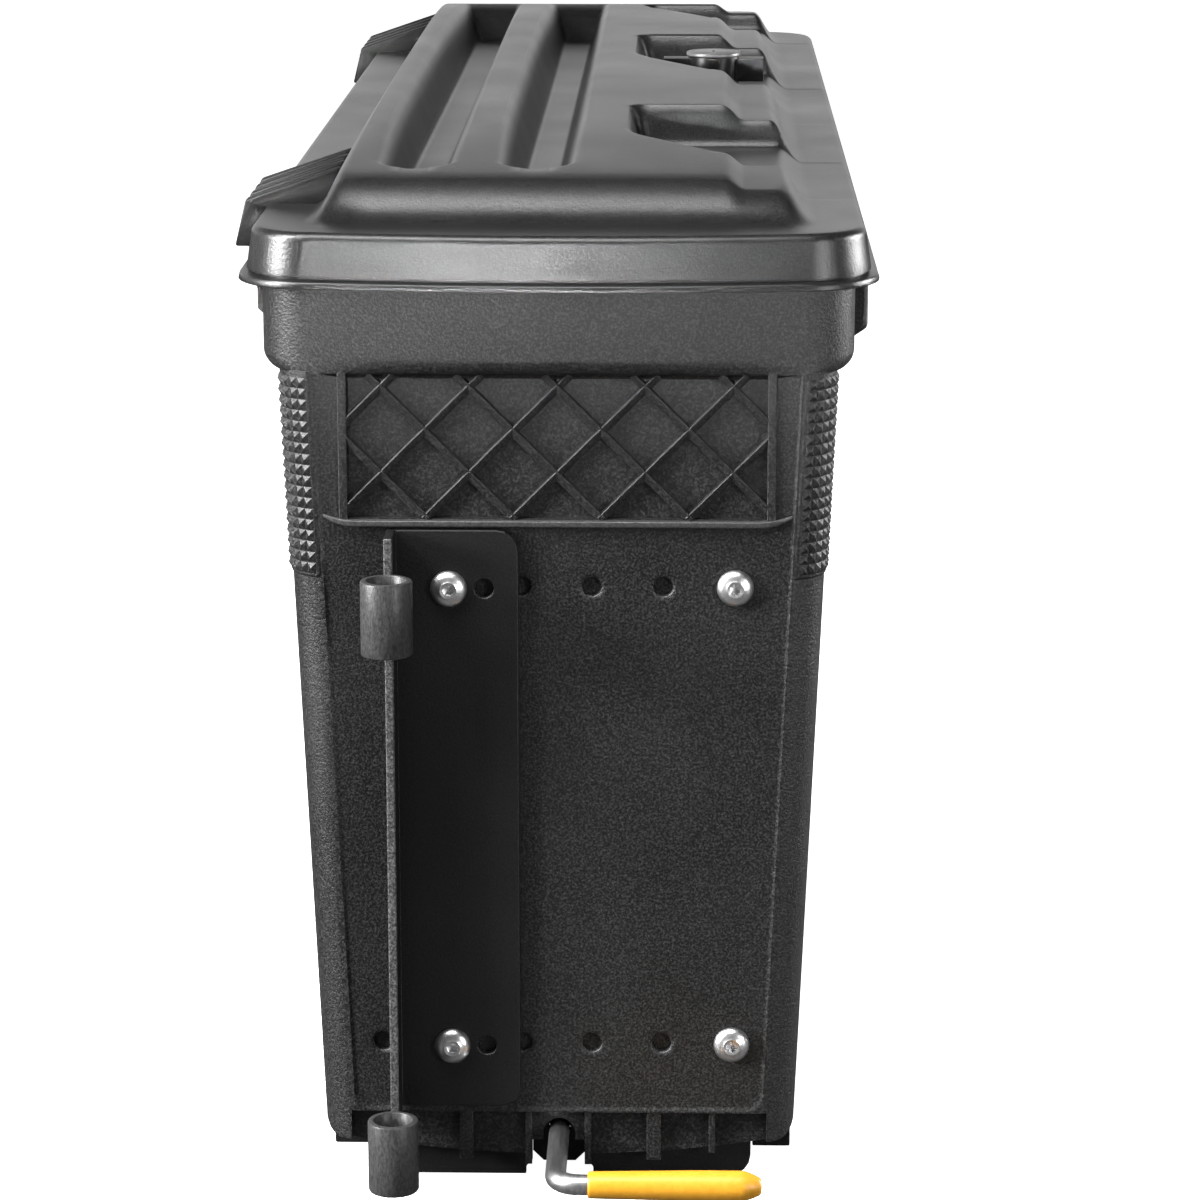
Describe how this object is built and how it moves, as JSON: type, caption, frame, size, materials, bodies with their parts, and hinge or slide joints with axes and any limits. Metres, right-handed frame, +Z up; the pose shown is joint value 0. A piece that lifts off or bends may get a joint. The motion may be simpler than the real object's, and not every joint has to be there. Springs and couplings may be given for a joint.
{
  "type": "wheel well tool box",
  "caption": "Moulded tool box that stands beside a pickup's wheel well: stepped case, hinged lid with a twist latch, swing-out hinge bracket and a release rod under the floor.",
  "frame": {"origin": "on the ground under the middle of the object's bounding box", "axes": "+Z up, +Y along the box away from the bracket end, +X to the latch side, so the lid's hinges lie on -X"},
  "size_m": [0.2974, 0.9744, 0.4821],
  "materials": {
    "moulded_black": "grained satin",
    "powder_black": "textured powder coat",
    "bright_zinc": "bright zinc plate",
    "bare_steel": "satin",
    "yellow_vinyl": "dipped vinyl",
    "seal_rubber": "matt",
    "pale_cap": "satin"
  },
  "bodies": {
    "case": {"case_body": "moulded_black", "lid_seal": "seal_rubber", "hinge_bracket": "powder_black", "upper_hinge_barrel": "powder_black", "lower_hinge_barrel": "powder_black", "panel_screw_1": "bright_zinc", "panel_screw_2": "bright_zinc", "panel_screw_3": "bright_zinc", "panel_screw_4": "bright_zinc", "panel_nut_1": "bright_zinc", "panel_nut_2": "bright_zinc", "panel_nut_3": "bright_zinc", "panel_nut_4": "bright_zinc", "backing_plate": "bare_steel", "skid_rail_left": "moulded_black", "skid_rail_right": "moulded_black", "skid_rail_screw_1": "bright_zinc", "skid_rail_screw_2": "bright_zinc", "skid_rail_screw_3": "bright_zinc", "skid_rail_screw_4": "bright_zinc", "front_cross_member": "powder_black", "rear_cross_member": "powder_black", "cross_member_rivet_1": "bright_zinc", "cross_member_rivet_2": "bright_zinc", "cross_member_rivet_3": "bright_zinc", "cross_member_rivet_4": "bright_zinc", "front_rod_bushing": "moulded_black", "rear_rod_bushing": "moulded_black", "return_spring": "bare_steel", "front_hinge_base": "powder_black", "rear_hinge_base": "powder_black", "front_hinge_pin": "bare_steel", "rear_hinge_pin": "bare_steel", "hinge_rivet_1": "bright_zinc", "hinge_rivet_2": "bright_zinc", "hinge_rivet_3": "bright_zinc", "hinge_rivet_4": "bright_zinc", "latch_keeper": "bare_steel", "keeper_rivet_1": "bright_zinc", "keeper_rivet_2": "bright_zinc"},
    "lid": {"lid_shell": "moulded_black", "front_hinge_leaf": "powder_black", "rear_hinge_leaf": "powder_black", "hinge_leaf_screw_1": "bright_zinc", "hinge_leaf_screw_2": "bright_zinc", "hinge_leaf_screw_3": "bright_zinc", "hinge_leaf_screw_4": "bright_zinc", "latch_housing": "moulded_black", "latch_housing_nut": "bright_zinc"},
    "latch": {"latch_handle": "moulded_black", "latch_shaft": "bare_steel", "latch_cam": "bright_zinc", "latch_cam_nut": "bright_zinc"},
    "lock": {"lock_cylinder": "pale_cap"},
    "release": {"release_rod": "bare_steel", "release_grip": "yellow_vinyl", "rod_collar": "bright_zinc", "latch_pawl": "bright_zinc", "pawl_pin": "bare_steel"}
  },
  "joints": [
    {"name": "lid_hinge", "type": "hinge", "parent": "case", "child": "lid", "pos_m": [-0.1411, -0.2962, 0.433], "axis": [0, -1, 0], "range_deg": [0, 90]},
    {"name": "latch_turn", "type": "hinge", "parent": "lid", "child": "latch", "pos_m": [0.0761, 0.0398, 0.4656], "axis": [0, 0, -1], "range_deg": [0, 90]},
    {"name": "lock_turn", "type": "hinge", "parent": "latch", "child": "lock", "pos_m": [0.0761, 0.0398, 0.4796], "axis": [0, 0, 1], "range_deg": [0, 90]},
    {"name": "release_turn", "type": "hinge", "parent": "case", "child": "release", "pos_m": [0.0041, -0.4202, 0.0238], "axis": [0, -1, 0], "range_deg": [0, 60], "stiffness_Nm_per_rad": 0.15, "springref_deg": -22.92, "deforming": ["return_spring"]}
  ]
}
